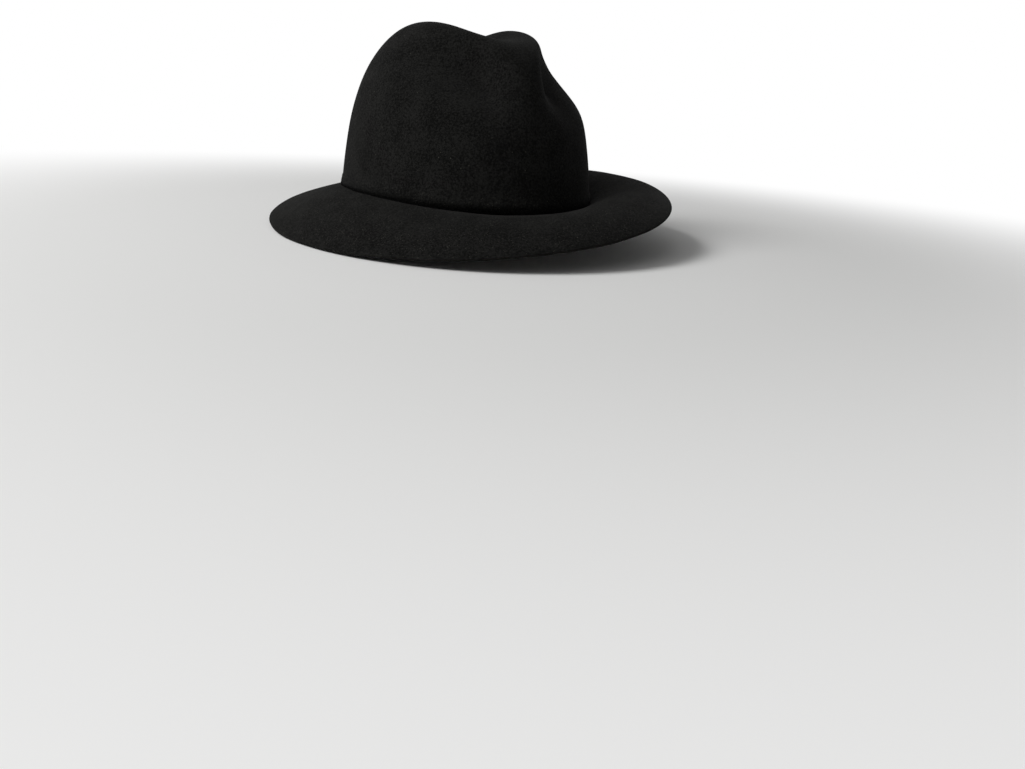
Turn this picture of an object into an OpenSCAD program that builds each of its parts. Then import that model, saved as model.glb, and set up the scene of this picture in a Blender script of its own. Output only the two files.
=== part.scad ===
// Soft felt hat with a centre crease, two front pinches and a snap brim.
// The felt is one blocked shell. Every inner layer is laid on the same crown surface,
// at its own depth, so a change of size carries through to all of them.
// Lengths are in millimetres and angles in degrees. The front of the hat faces -Y.

/* [Crown] */
// Length of the crown at the break, front to back
crown_length = 205; // [175:1:250]
// Width of the crown at the break, side to side
crown_width = 175; // [145:1:210]
// Height of the undented crown above the break
crown_height = 118.5; // [98:0.5:142]
// Squareness of the dome, where 2 is an ellipsoid
dome_power = 2.85; // [2.4:0.05:3.3]
// Share by which the walls draw in towards the tip
crown_taper = 0.14; // [0.05:0.01:0.2]
// Height by which the break rises at the sides and dips at the front and back
break_wave = 2.6; // [0:0.1:4]
// Thickness of the felt
felt_t = 2; // [1.5:0.1:2.6]

/* [Centre crease] */
// Depth of the crease at the middle of the crown
crease_depth = 17.8; // [8:0.1:22]
// Half width of the crease
crease_half_w = 25; // [18:0.5:32]
// Distance from the middle to the front end of the crease
crease_front = 52; // [40:1:64]
// Distance from the middle to the back end of the crease
crease_back = 62; // [45:1:75]

/* [Front pinches] */
// Depth of each pinch
pinch_depth = 20; // [6:0.5:24]
// Angle of the deepest place of the -X pinch, measured round from the front
pinch_angle = 25; // [20:1:40]
// Angle of the deepest place of the +X pinch, which the hand set further back
pinch_angle_far = 31; // [20:1:42]
// Height of the deepest place above the break
pinch_height = 76; // [60:1:90]
// Reach of the -X pinch towards the front, in degrees
pinch_reach_front = 12; // [10:1:20]
// Reach of the +X pinch towards the front, which the thumb has left softer, in degrees
pinch_reach_soft = 17; // [10:1:22]
// Reach of the pinch towards the back, in degrees
pinch_reach_back = 44; // [25:1:55]
// Reach of the -X pinch upwards
pinch_reach_up = 24; // [18:1:30]
// Reach of the +X pinch upwards
pinch_reach_up_far = 22; // [15:1:30]
// Reach of the pinch downwards
pinch_reach_down = 15; // [12:1:24]
// Rise of the pinch for each 100 degrees towards the back
pinch_rise = 32; // [0:1:45]

/* [Brim] */
// Width of the brim from the break to its edge
brim_width = 58; // [45:1:70]
// Mean slope of the brim at the break
root_slope = 4.3; // [-5:0.1:10]
// Extra root slope at the front, and less at the back
root_front = 1.5; // [-6:0.1:6]
// Extra root slope at both ends, and less at both sides
root_ends = 2; // [-6:0.1:6]
// Extra root slope on the +X side, and less on the -X side
root_side = 18.5; // [-20:0.1:20]
// Root slope that twists from quarter to quarter
root_twist = -2.4; // [-6:0.1:6]
// Mean turn of the brim from root to edge, where minus turns down
curl = -22.4; // [-30:0.1:10]
// Extra turn at the front, and less at the back
curl_front = -10.9; // [-15:0.1:15]
// Extra turn on the +X side, and less on the -X side
curl_side = 1.9; // [-10:0.1:10]
// Turn that twists from quarter to quarter
curl_twist = 3.7; // [-8:0.1:8]
// Extra root slope of the rolled stretch, which is all gone at the edge
roll_up = 29; // [0:0.5:35]
// Middle of the rolled stretch, measured round from the front
roll_angle = 46; // [40:1:110]
// Reach of the rolled stretch to each side, in degrees
roll_reach = 54; // [25:1:65]

/* [Sweatband] */
// Height of the leather band
sweat_height = 40; // [30:1:46]
// Thickness of the leather
sweat_t = 0.8; // [0.6:0.1:1.2]
// Width of the open butt joint at the back
seam_gap = 0.4; // [0.3:0.1:1]
// Diameter of the plastic reed in the lower edge
reed_d = 1.1; // [0.8:0.1:1.6]
// Wall of the sleeve that joins the ends of the reed
sleeve_wall = 0.2; // [0.15:0.05:0.4]
// Length of the sleeve
sleeve_length = 14; // [8:1:24]
// Thickness of the cloth tape round the reed
tape_t = 0.3; // [0.2:0.05:0.5]
// Height of the reed tape
tape_height = 5.6; // [4:0.1:8]
// Width of the tape behind the back seam
seam_tape_w = 10; // [6:0.5:16]

/* [Lining] */
// Thickness of the lining satin
lining_t = 0.3; // [0.2:0.05:0.6]
// How far the lining reaches down behind the leather
lining_tuck = 6; // [3:0.5:10]
// Drop from the crown's full height to the seam between the side and the tip
lining_tip_drop = 42; // [36:1:50]
// How far the lining hangs off the felt
lining_hang = 1.6; // [0.8:0.1:3]
// Diameter of the piping cord in the seam
piping_d = 1.6; // [1:0.1:2.4]

/* [Trim] */
// Width of the ribbon of the little bow
bow_ribbon_w = 6; // [4:0.5:9]
// Length of each loop of the bow
bow_loop_length = 12; // [8:0.5:16]
// Depth of each loop of the bow
bow_loop_depth = 2.6; // [2:0.1:4]
// Thickness of the bow's ribbon
bow_ribbon_t = 0.4; // [0.3:0.05:0.6]
// Width of the knot between the loops
bow_knot_w = 5; // [4:0.5:8]
// Radius of the knot's corners
bow_knot_corner = 1; // [0.5:0.1:1.5]
// Height of the bow's middle above the break
bow_height = 12; // [9:0.5:18]
// Width of the bare size label
label_w = 18; // [10:0.5:26]
// Height of the bare size label
label_h = 9; // [6:0.5:12]
// Height of the label's lower edge above the break
label_low = 18; // [15:0.5:24]
// Angle of the label round from the front
label_angle = 155; // [120:1:165]
// Thickness of the size label
label_t = 0.2; // [0.15:0.05:0.4]
// Diameter of the sewing thread
thread_d = 0.5; // [0.3:0.05:0.7]
// Number of stitches round the lower edge of the leather
stitch_count = 90; // [60:1:120]
// Number of stitches on each side of the back seam
seam_stitch_count = 7; // [4:1:12]
// Distance of these stitches from the seam
seam_stitch_offset = 2.2; // [1.4:0.1:4]

/* [Fits] */
// Gap between layers that are sewn together
layer_gap = 0.15; // [0.1:0.05:0.3]
// Gap between the felt and the first layer inside it
felt_gap = 0.3; // [0.2:0.05:0.5]

/* [Hidden] */

half_l = crown_length / 2;
half_w = crown_width / 2;

// Mesh steps: columns round the hat, rows up the crown, out along the brim and up the lining
columns = 72;
crown_rows = 23;
brim_rows = 11;
lining_rows = 8;
step_deg = 360 / columns;
full_turn = [for (i = [0 : columns - 1]) i * step_deg - 180];

// Share of the pitch that each stitch shows, and the bare length above and below the seam's rows
stitch_share = 0.6;
seam_stitch_clear = 3;

// Small steps for slopes of the surface
probe_deg = 1;
probe_out = 0.02;

// Depths below the outer face of the felt, from the felt inwards
tape_d0 = felt_t + felt_gap;
reed_room = reed_d + 2 * (sleeve_wall + layer_gap) + 2 * layer_gap;
reed_depth = tape_d0 + tape_t + reed_room / 2;
tape_d1 = tape_d0 + 2 * tape_t + reed_room;
sweat_low_d = tape_d1 + layer_gap;
sweat_high_d = felt_t + felt_gap + max(lining_t, tape_t) + layer_gap;

// Heights above the break
tape_low = 0.4;
reed_height = tape_low + tape_t + reed_room / 2;
sweat_low = 0.8;
sweat_top = sweat_low + sweat_height;
lean_start = tape_low + tape_height + 0.4;
lean_end = lean_start + 7;
lining_low = sweat_top - lining_tuck;
lining_seam = crown_height - lining_tip_drop;

// ---- Surface of the crown -------------------------------------------------------------

function smooth(t) = let (u = min(max(t, 0), 1)) u * u * (3 - 2 * u);
function bell(t) = exp(-t * t);
function wrap(deg) = deg - 360 * floor((deg + 180) / 360);

// Inward push of one pinch, where side is -1 or 1
function pinch(phi, h, side) =
  let (
    far = side > 0,
    back = wrap(side * phi) - (far ? pinch_angle_far : pinch_angle),
    up = h * crown_height - pinch_height - pinch_rise * back / 100,
    reach = back > 0 ? pinch_reach_back : (far ? pinch_reach_soft : pinch_reach_front),
    tall = up < 0 ? pinch_reach_down : (far ? pinch_reach_up_far : pinch_reach_up)
  )
  pinch_depth * bell(back / reach) * bell(up / tall);

// Drop of the centre crease
function crease(x, y, h) =
  let (end = y < 0 ? crease_front : crease_back)
  crease_depth * bell(x / crease_half_w) / (1 + pow(abs(y) / end, 4)) * smooth(2 * h - 1);

// Height of the break round the hat
function break_z(phi) = -break_wave * cos(2 * phi);

// Point of the outer face, from the break (rise 0) to the pole (rise 90)
function crown(phi, rise) =
  let (
    h = pow(sin(rise), 2 / dome_power),
    k = pow(max(cos(rise), 0), 2 / dome_power) * (1 - crown_taper * h),
    x = half_w * k * sin(phi),
    y = -half_l * k * cos(phi),
    push = pinch(phi, h, -1) + pinch(phi, h, 1),
    z = crown_height * h + break_z(phi) * (1 - h) * (1 - h)
  )
  [x - push * sin(phi), y + push * cos(phi), z - crease(x, y, h)];

// Outward normal of the crown
function crown_normal(phi, rise) =
  rise > 90 - probe_deg / 2 ? [0, 0, 1] :
  let (
    up = crown(phi, min(rise + probe_deg, 90)) - crown(phi, max(rise - probe_deg, 0)),
    round_it = crown(phi + probe_deg, rise) - crown(phi - probe_deg, rise)
  )
  unit(cross(round_it, up));

function unit(v) = v / norm(v);

// Rise angle of a height above the break
function rise_of(height) = asin(pow(height / crown_height, dome_power / 2));

// Point at a height above the break and a depth below the outer face
function wall(phi, height, depth) =
  let (rise = rise_of(height)) crown(phi, rise) - depth * crown_normal(phi, rise);

// ---- Surface of the brim --------------------------------------------------------------

// Extra slope of the rolled stretch
function roll(phi, out) = roll_up * bell(wrap(phi - roll_angle) / roll_reach) * (1 - out);

function brim_root(phi) =
  root_slope + root_front * cos(phi) + root_ends * cos(2 * phi)
  + root_side * sin(phi) + root_twist * sin(2 * phi);

function brim_curl(phi) =
  curl + curl_front * cos(phi) + curl_side * sin(phi) + curl_twist * sin(2 * phi);

// Point of the upper face, from the break (out 0) to the edge (out 1)
function brim(phi, out) =
  let (
    slope = brim_root(phi) + brim_curl(phi) * out / 2 + roll(phi, out),
    way = unit([sin(phi) / half_w, -cos(phi) / half_l]),
    reach = brim_width * out * cos(slope)
  )
  [
    half_w * sin(phi) + way.x * reach,
    -half_l * cos(phi) + way.y * reach,
    break_z(phi) + brim_width * out * sin(slope)
  ];

// Upward normal of the brim
function brim_normal(phi, out) =
  let (
    along = brim(phi, out + probe_out) - brim(phi, out),
    round_it = brim(phi + probe_deg, out) - brim(phi - probe_deg, out)
  )
  unit(cross(along, round_it));

// Underside of the break, where the inner wall meets the lower face of the brim
function break_under(phi) =
  let (n1 = crown_normal(phi, 0), n2 = brim_normal(phi, 0))
  crown(phi, 0) - felt_t * (n1 + n2) / (1 + n1 * n2);

// ---- Building skins from rings of points ----------------------------------------------

function flat(rings) = [for (ring = rings) each ring];

// Triangles between ring a and ring b, each with n points, joined round if closed
function strip(a, b, n, closed) = [
  for (i = [0 : closed ? n - 1 : n - 2])
    let (j = (i + 1) % n)
      each [[a * n + i, b * n + i, b * n + j], [a * n + i, b * n + j, a * n + j]]
];

// Dome-like shell: rings from one pole to the other, in order
module shell(pole_a, rings, pole_b) {
  n = len(rings[0]);
  m = len(rings);
  first = n * m;
  polyhedron(
    concat(flat(rings), [pole_a, pole_b]),
    concat(
      [for (i = [0 : n - 1]) [first, i, (i + 1) % n]],
      [for (r = [0 : m - 2]) each strip(r, r + 1, n, true)],
      [for (i = [0 : n - 1]) [first + 1, (m - 1) * n + (i + 1) % n, (m - 1) * n + i]]
    ),
    convexity = 8
  );
}

// Hoop: the rings follow a closed profile, and each ring runs all round
module hoop(rings) {
  n = len(rings[0]);
  m = len(rings);
  polyhedron(
    flat(rings),
    [for (r = [0 : m - 1]) each strip(r, (r + 1) % m, n, true)],
    convexity = 8
  );
}

// Strap: as a hoop, but open at its two ends, which are capped
module strap(rings) {
  n = len(rings[0]);
  m = len(rings);
  polyhedron(
    flat(rings),
    concat(
      [for (r = [0 : m - 1]) each strip(r, (r + 1) % m, n, false)],
      [for (r = [0 : m / 2 - 2]) each cap_quad(r, m, n, 0)],
      [for (r = [0 : m / 2 - 2]) each cap_quad(r, m, n, n - 1)]
    ),
    convexity = 8
  );
}

// Two triangles of an end cap, between profile point r and its partner across the wall
function cap_quad(r, m, n, i) =
  let (a = r * n + i, b = (r + 1) * n + i, c = (m - 2 - r) * n + i, d = (m - 1 - r) * n + i)
  i == 0 ? [[a, d, c], [a, c, b]] : [[a, b, c], [a, c, d]];

// Rings for a profile of [depth, height] points, at the given angles
function rings_of(profile, angles) =
  [for (p = profile) [for (phi = angles) wall(phi, p[1], p[0])]];

// Profile of a layer that goes up on its outer face and down on its inner face
function layer(heights, depths, thickness) =
  let (last = len(heights) - 1)
  concat(
    [for (i = [0 : last]) [depths[i], heights[i]]],
    [for (i = [last : -1 : 0]) [depths[i] + thickness, heights[i]]]
  );

// Round profile
function round_profile(depth, height, diameter, sides) =
  [for (i = [0 : sides - 1]) [
    depth - diameter / 2 * cos(i * 360 / sides),
    height + diameter / 2 * sin(i * 360 / sides)
  ]];

// Angle that a length takes up at the back of the crown, at a depth below the felt's outer face
function back_deg(length, depth) =
  let (radius = half_w * half_w / half_l) length / half_w / (1 - depth / radius) * 180 / PI;

// Angles of a strap that runs round the hat and stops short of the back by half a gap
function open_turn(gap) = concat(
  [-180 + back_deg(gap, reed_depth) / 2],
  [for (i = [1 : columns - 1]) i * step_deg - 180],
  [180 - back_deg(gap, reed_depth) / 2]
);

// Angles of a short patch, in steps fine enough to follow the wall
function patch_turn(middle, length) =
  let (half = back_deg(length, reed_depth) / 2, steps = max(2, ceil(2 * half / step_deg)))
  [for (i = [0 : steps]) middle - half + 2 * half * i / steps];

// One straight stitch between two points
module stitch(from, to) {
  way = to - from;
  translate(from)
    rotate([0, acos(way.z / norm(way)), atan2(way.y, way.x)])
      cylinder(d = thread_d, h = norm(way), $fn = 16);
}

// ---- Pieces ---------------------------------------------------------------------------

module felt_body() {
  rises = [for (i = [1 : crown_rows]) 90 * (1 - pow(i / crown_rows, 1.1))];
  outs = [for (i = [1 : brim_rows]) i / brim_rows];
  crown_out = [for (rise = rises) [for (phi = full_turn) crown(phi, max(rise, 0))]];
  brim_top = [for (out = outs) [for (phi = full_turn) brim(phi, out)]];
  brim_under = [
    for (i = [brim_rows - 1 : -1 : 0])
      [for (phi = full_turn) brim(phi, outs[i]) - felt_t * brim_normal(phi, outs[i])]
  ];
  corner = [[for (phi = full_turn) break_under(phi)]];
  crown_in = [
    for (i = [crown_rows - 2 : -1 : 0])
      [for (phi = full_turn) crown(phi, rises[i]) - felt_t * crown_normal(phi, rises[i])]
  ];
  color("#26261f")
    shell(
      crown(0, 90),
      concat(crown_out, brim_top, brim_under, corner, crown_in),
      crown(0, 90) - [0, 0, felt_t]
    );
}

// Depth of the outer face of the leather at a height
function sweat_depth(height) =
  sweat_low_d + (sweat_high_d - sweat_low_d) * smooth((height - lean_start) / (lean_end - lean_start));

// Depth of the side of the bow that faces the leather, clear of the leather's lean
bow_depth = sweat_depth(bow_height - bow_ribbon_w / 2 - bow_ribbon_t) + sweat_t + felt_gap;

module sweatband() {
  lean_rows = [for (i = [0 : 3]) lean_start + (lean_end - lean_start) * i / 3];
  top_rows = [for (i = [1 : 3]) lean_end + (sweat_top - lean_end) * i / 3];
  heights = concat([sweat_low], lean_rows, top_rows);
  depths = [for (h = heights) sweat_depth(h)];
  color("#3b2a1f") strap(rings_of(layer(heights, depths, sweat_t), open_turn(seam_gap)));
}

module sweatband_stitching() {
  height = tape_low + tape_height - thread_d - layer_gap;
  depth = sweat_low_d + sweat_t + layer_gap + thread_d / 2;
  pitch = 360 / stitch_count;
  color("#8a7a62")
    for (i = [0 : stitch_count - 1]) {
      start = -180 + (i + (1 - stitch_share) / 2) * pitch;
      stitch(wall(start, height, depth), wall(start + stitch_share * pitch, height, depth));
    }
}

module sweatband_reed() {
  color("#d9d4c4")
    strap(rings_of(round_profile(reed_depth, reed_height, reed_d, 6), open_turn(1)));
}

module reed_sleeve() {
  bore = reed_d + 2 * layer_gap;
  turn = patch_turn(180, sleeve_length);
  longer = patch_turn(180, sleeve_length + 2);
  color("#b08d4a")
    difference() {
      strap(rings_of(round_profile(reed_depth, reed_height, bore + 2 * sleeve_wall, 12), turn));
      strap(rings_of(round_profile(reed_depth, reed_height, bore, 12), longer));
    }
}

module reed_tape() {
  top = tape_low + tape_height;
  fold = tape_low + tape_t;
  outline = [
    [tape_d0, tape_low], [tape_d0, top], [tape_d0 + tape_t, top], [tape_d0 + tape_t, fold],
    [tape_d1 - tape_t, fold], [tape_d1 - tape_t, top], [tape_d1, top], [tape_d1, tape_low]
  ];
  color("#1c1c1c") hoop(rings_of(outline, full_turn));
}

module back_seam_tape() {
  low = lean_end + 1;
  high = lining_low - 1;
  heights = [low, (low + high) / 2, high];
  depth = felt_t + felt_gap;
  color("#1c1c1c")
    strap(rings_of(layer(heights, [depth, depth, depth], tape_t), patch_turn(180, seam_tape_w)));
}

module back_seam_stitching() {
  low = bow_height + bow_ribbon_w / 2 + seam_stitch_clear;
  high = sweat_top - seam_stitch_clear;
  pitch = (high - low) / seam_stitch_count;
  depth = sweat_high_d + sweat_t + layer_gap + thread_d / 2;
  color("#8a7a62")
    for (side = [-1, 1])
      for (i = [0 : seam_stitch_count - 1]) {
        phi = 180 + side * back_deg(seam_stitch_offset, depth);
        base = low + i * pitch;
        stitch(wall(phi, base, depth), wall(phi, base + stitch_share * pitch, depth));
      }
}

// Closed path of one bow loop, as [depth, angle]: a drop that narrows to the knot
function loop_path(side, inset) =
  let (
    reach = bow_loop_length - 2 * inset,
    deep = bow_loop_depth - 2 * inset,
    middle = bow_knot_w / 2 + felt_gap + bow_loop_length / 2,
    depth = bow_depth + bow_loop_depth / 2
  )
  [for (i = [0 : 15])
    let (t = i * 22.5)
    [
      depth + deep / 2 * sin(t) * (0.75 - 0.25 * cos(t)) * side,
      180 + side * back_deg(middle - reach / 2 * cos(t), depth + bow_loop_depth / 2)
    ]
  ];

module bow_loops() {
  low = bow_height - bow_ribbon_w / 2;
  high = bow_height + bow_ribbon_w / 2;
  color("#1c1c1c")
    for (side = [-1, 1]) {
      outer = loop_path(side, 0);
      inner = loop_path(side, bow_ribbon_t);
      hoop([
        [for (p = outer) wall(p[1], low, p[0])],
        [for (p = outer) wall(p[1], high, p[0])],
        [for (p = inner) wall(p[1], high, p[0])],
        [for (p = inner) wall(p[1], low, p[0])]
      ]);
    }
}

module bow_knot() {
  deep = bow_loop_depth + bow_ribbon_t;
  tall = bow_ribbon_w + 2 * bow_ribbon_t;
  r = bow_knot_corner;
  place = wall(180, bow_height, bow_depth);
  color("#1c1c1c")
    translate([0, place.y, place.z])
      rotate([90, 0, 0])
        linear_extrude(deep)
          union() {
            square([bow_knot_w - 2 * r, tall], center = true);
            square([bow_knot_w, tall - 2 * r], center = true);
            for (x = [-1, 1])
              for (y = [-1, 1])
                translate([x * (bow_knot_w / 2 - r), y * (tall / 2 - r)]) circle(r, $fn = 24);
          }
}

module size_label() {
  heights = [label_low, label_low + label_h];
  depth = sweat_high_d + sweat_t + layer_gap;
  color("#e8e2d0")
    strap(rings_of(layer(heights, [depth, depth], label_t), patch_turn(label_angle, label_w)));
}

// Depth of the outer face of the lining at a height
function lining_depth(height) =
  felt_t + felt_gap + lining_hang * smooth((height - sweat_top) / (lining_seam - sweat_top));

module lining_side() {
  rise_rows = [for (i = [0 : lining_rows]) sweat_top + (lining_seam - sweat_top) * i / lining_rows];
  heights = concat([lining_low], rise_rows);
  depths = [for (h = heights) lining_depth(h)];
  color("#9e9589") hoop(rings_of(layer(heights, depths, lining_t), full_turn));
}

module lining_tip() {
  rows = 9;
  first = rise_of(lining_seam + 2 * layer_gap);
  rises = [for (i = [1 : rows]) 90 + (first - 90) * i / rows];
  depth = felt_t + felt_gap + lining_hang;
  upper = [for (rise = rises) [for (phi = full_turn) crown(phi, rise) - depth * crown_normal(phi, rise)]];
  lower = [
    for (i = [rows - 1 : -1 : 0])
      [for (phi = full_turn) crown(phi, rises[i]) - (depth + lining_t) * crown_normal(phi, rises[i])]
  ];
  color("#9e9589")
    shell(crown(0, 90) - [0, 0, depth], concat(upper, lower), crown(0, 90) - [0, 0, depth + lining_t]);
}

module lining_piping() {
  depth = lining_depth(lining_seam) + lining_t + layer_gap + piping_d / 2;
  color("#696159") hoop(rings_of(round_profile(depth, lining_seam + layer_gap, piping_d, 6), full_turn));
}

felt_body();
sweatband();
sweatband_stitching();
sweatband_reed();
reed_sleeve();
reed_tape();
back_seam_tape();
back_seam_stitching();
bow_loops();
bow_knot();
size_label();
lining_side();
lining_tip();
lining_piping();
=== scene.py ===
# %% [markdown]
# # A soft felt hat
#
# This lesson builds the looks of a creased and pinched felt hat round a packed model of its construction.
# The order is a hatter's: draw the hood, stretch it over an oval block, dent the crown by hand, flange the
# brim, and only then sew in the leather, the lining and the small trim.

# %% The construction model
import math

import bmesh
import bpy
from mathutils import Matrix, Vector, noise


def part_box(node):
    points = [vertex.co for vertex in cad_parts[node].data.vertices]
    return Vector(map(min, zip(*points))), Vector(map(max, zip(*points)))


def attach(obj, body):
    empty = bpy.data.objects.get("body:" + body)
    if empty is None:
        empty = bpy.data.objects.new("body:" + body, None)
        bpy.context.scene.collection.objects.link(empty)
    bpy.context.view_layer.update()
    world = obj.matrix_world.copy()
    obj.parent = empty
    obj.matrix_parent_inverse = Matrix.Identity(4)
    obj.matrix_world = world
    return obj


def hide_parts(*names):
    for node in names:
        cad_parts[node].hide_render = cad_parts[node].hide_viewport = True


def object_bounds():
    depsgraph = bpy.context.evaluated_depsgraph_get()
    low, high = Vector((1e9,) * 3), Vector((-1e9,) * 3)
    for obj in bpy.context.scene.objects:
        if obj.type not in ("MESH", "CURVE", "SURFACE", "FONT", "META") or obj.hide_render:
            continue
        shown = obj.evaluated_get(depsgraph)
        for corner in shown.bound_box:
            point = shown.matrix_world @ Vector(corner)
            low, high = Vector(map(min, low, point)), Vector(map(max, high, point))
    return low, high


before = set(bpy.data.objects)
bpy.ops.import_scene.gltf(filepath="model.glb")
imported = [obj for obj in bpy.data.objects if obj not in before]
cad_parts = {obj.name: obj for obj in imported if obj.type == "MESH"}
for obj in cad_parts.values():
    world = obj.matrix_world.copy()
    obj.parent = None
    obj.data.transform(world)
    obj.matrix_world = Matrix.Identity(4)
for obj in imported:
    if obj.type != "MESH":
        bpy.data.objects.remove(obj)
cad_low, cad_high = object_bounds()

MM = 0.001
scene = bpy.context.scene
print("construction box, mm:", [round(v / MM) for v in (cad_high - cad_low)])

# %% [markdown]
# ## The crown surface
#
# Everything in a hat is laid on one surface, so it comes first. A height of 0 is the break, where the crown
# meets the brim, and a rise of 90 degrees is the tip. The front of the hat faces -Y. The same few
# sizes give the squareness of the dome, the centre crease and the two front pinches.

# %% Sizes of the crown
CROWN_LENGTH = 205 * MM
CROWN_WIDTH = 175 * MM
CROWN_HEIGHT = 118.5 * MM
DOME_POWER = 2.85
CROWN_TAPER = 0.14
BREAK_WAVE = 2.6 * MM
FELT = 2 * MM

CREASE_DEPTH = 17.8 * MM
CREASE_HALF_WIDTH = 25 * MM
CREASE_FRONT = 52 * MM
CREASE_BACK = 62 * MM

PINCH_DEPTH = 20 * MM
PINCH_ANGLE = {-1: 25, 1: 31}
PINCH_HEIGHT = 76 * MM
PINCH_REACH_FRONT = {-1: 12, 1: 17}
PINCH_REACH_BACK = 44
PINCH_REACH_UP = {-1: 24 * MM, 1: 22 * MM}
PINCH_REACH_DOWN = 15 * MM
PINCH_RISE = 32 * MM

half_length, half_width = CROWN_LENGTH / 2, CROWN_WIDTH / 2
print("crown at the break, mm:", round(CROWN_LENGTH / MM), "by", round(CROWN_WIDTH / MM))


# %% Shape of the crown
def smooth(t):
    """0 below 0, 1 above 1, and an even curve between them."""
    t = min(max(t, 0.0), 1.0)
    return t * t * (3 - 2 * t)


def bell(t):
    return math.exp(-t * t)


def pinch(phi, h, side):
    """Inward push of the pinch on one side, -1 or 1, at an angle in degrees and a share of the height."""
    back = (side * phi + 180) % 360 - 180 - PINCH_ANGLE[side]
    up = h * CROWN_HEIGHT - PINCH_HEIGHT - PINCH_RISE * back / 100
    reach = PINCH_REACH_BACK if back > 0 else PINCH_REACH_FRONT[side]
    tall = PINCH_REACH_UP[side] if up > 0 else PINCH_REACH_DOWN
    return PINCH_DEPTH * bell(back / reach) * bell(up / tall)


def crease(x, y, h):
    """Drop of the centre crease."""
    end = CREASE_FRONT if y < 0 else CREASE_BACK
    return CREASE_DEPTH * bell(x / CREASE_HALF_WIDTH) / (1 + (abs(y) / end) ** 4) * smooth(2 * h - 1)


def break_height(phi):
    return -BREAK_WAVE * math.cos(math.radians(2 * phi))


def crown(phi, rise):
    """Point of the felt's outer face at an angle from the front and a rise from the break, in degrees."""
    h = math.sin(math.radians(rise)) ** (2 / DOME_POWER)
    k = max(math.cos(math.radians(rise)), 0.0) ** (2 / DOME_POWER) * (1 - CROWN_TAPER * h)
    s, c = math.sin(math.radians(phi)), math.cos(math.radians(phi))
    x, y = half_width * k * s, -half_length * k * c
    push = pinch(phi, h, -1) + pinch(phi, h, 1)
    z = CROWN_HEIGHT * h + break_height(phi) * (1 - h) ** 2
    return Vector((x - push * s, y + push * c, z - crease(x, y, h)))


print("middle of the creased tip, mm:", round(crown(0, 90).z / MM, 1))

# %% Normals and places on the crown
SHORT_TURN = 0.5


def crown_normal(phi, rise):
    """Outward normal, from two short steps on the surface."""
    if rise > 90 - SHORT_TURN:
        return Vector((0, 0, 1))
    up = crown(phi, min(rise + SHORT_TURN, 90)) - crown(phi, max(rise - SHORT_TURN, 0))
    across = crown(phi + SHORT_TURN, rise) - crown(phi - SHORT_TURN, rise)
    return across.cross(up).normalized()


def rise_of(height):
    return math.degrees(math.asin((max(height, 0) / CROWN_HEIGHT) ** (DOME_POWER / 2)))


def wall(phi, height, depth):
    """Point at a height above the break and a depth below the felt's outer face."""
    rise = rise_of(height)
    return crown(phi, rise) - depth * crown_normal(phi, rise)


print("rise at half the crown's height, degrees:", round(rise_of(CROWN_HEIGHT / 2), 1))

# %% [markdown]
# ## The brim surface
#
# A brim is flanged: from the break it leaves at a root slope, and it turns along its width by a curl. Both
# change round the hat, because one side is snapped down and the other is turned up. A few sine and cosine
# terms say how, which is the same as bending it by hand in broad sweeps. A lattice could bend a flat brim
# too, but it would also thin and thicken the felt.

# %% Sizes of the brim
BRIM_WIDTH = 58 * MM
ROOT = {"mean": 4.3, "front": 1.5, "ends": 2.0, "side": 18.5, "twist": -2.4}
CURL = {"mean": -22.4, "front": -10.9, "ends": 0.0, "side": 1.9, "twist": 3.7}
ROLL_UP, ROLL_ANGLE, ROLL_REACH = 29, 46, 54
print("brim, mm wide:", round(BRIM_WIDTH / MM))


# %% Shape of the brim
def sweep(terms, phi):
    """A broad bend round the hat, in degrees."""
    a = math.radians(phi)
    return (terms["mean"] + terms["front"] * math.cos(a) + terms["ends"] * math.cos(2 * a)
            + terms["side"] * math.sin(a) + terms["twist"] * math.sin(2 * a))


def roll(phi, out):
    """Extra slope of the rolled stretch, which is all gone at the edge."""
    return ROLL_UP * bell(((phi - ROLL_ANGLE + 180) % 360 - 180) / ROLL_REACH) * (1 - out)


def brim(phi, out):
    """Point of the brim's upper face, from the break (out 0) to the edge (out 1)."""
    slope = math.radians(sweep(ROOT, phi) + sweep(CURL, phi) * out / 2 + roll(phi, out))
    s, c = math.sin(math.radians(phi)), math.cos(math.radians(phi))
    way = Vector((s / half_width, -c / half_length, 0)).normalized()
    reach = BRIM_WIDTH * out
    edge = Vector((half_width * s, -half_length * c, break_height(phi)))
    return edge + way * reach * math.cos(slope) + Vector((0, 0, reach * math.sin(slope)))


print("edge of the brim at the front and back, mm:", [round(brim(p, 1).y / MM) for p in (0, 180)])

# %% [markdown]
# ## From hood to hat
#
# A hatter starts with a hood: a dome of felt with a flat skirt, the same all round. It is drawn here as a
# short outline and spun, so the mesh begins as a clean solid of revolution. The dome has a radius of 1 and
# the skirt runs from 1 to 2, and the thickness is a tenth. Blocking the hood is then one move: each vertex
# goes to its place on the crown or the brim. A Solidify modifier could give the wall too, but this keeps
# the two faces of the felt exactly one thickness apart.

# %% Frames on the surface, remembered because both faces of the felt use them
HOOD_WALL = 0.1
SKIRT_TOP = 0.5  # a point under this share of its way out belongs to the skirt
CLOSE = 1e-4
SHORT_WAY = 0.02
frames = {}


def crown_frame(phi, rise):
    key = (phi, rise)
    if key not in frames:
        frames[key] = (crown(phi, rise), crown_normal(phi, rise))
    return frames[key]


def brim_frame(phi, out):
    key = (phi, out, "brim")
    if key not in frames:
        along = brim(phi, out + SHORT_WAY) - brim(phi, out)
        across = brim(phi + SHORT_TURN, out) - brim(phi - SHORT_TURN, out)
        frames[key] = (brim(phi, out), along.cross(across).normalized())
    return frames[key]


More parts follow.
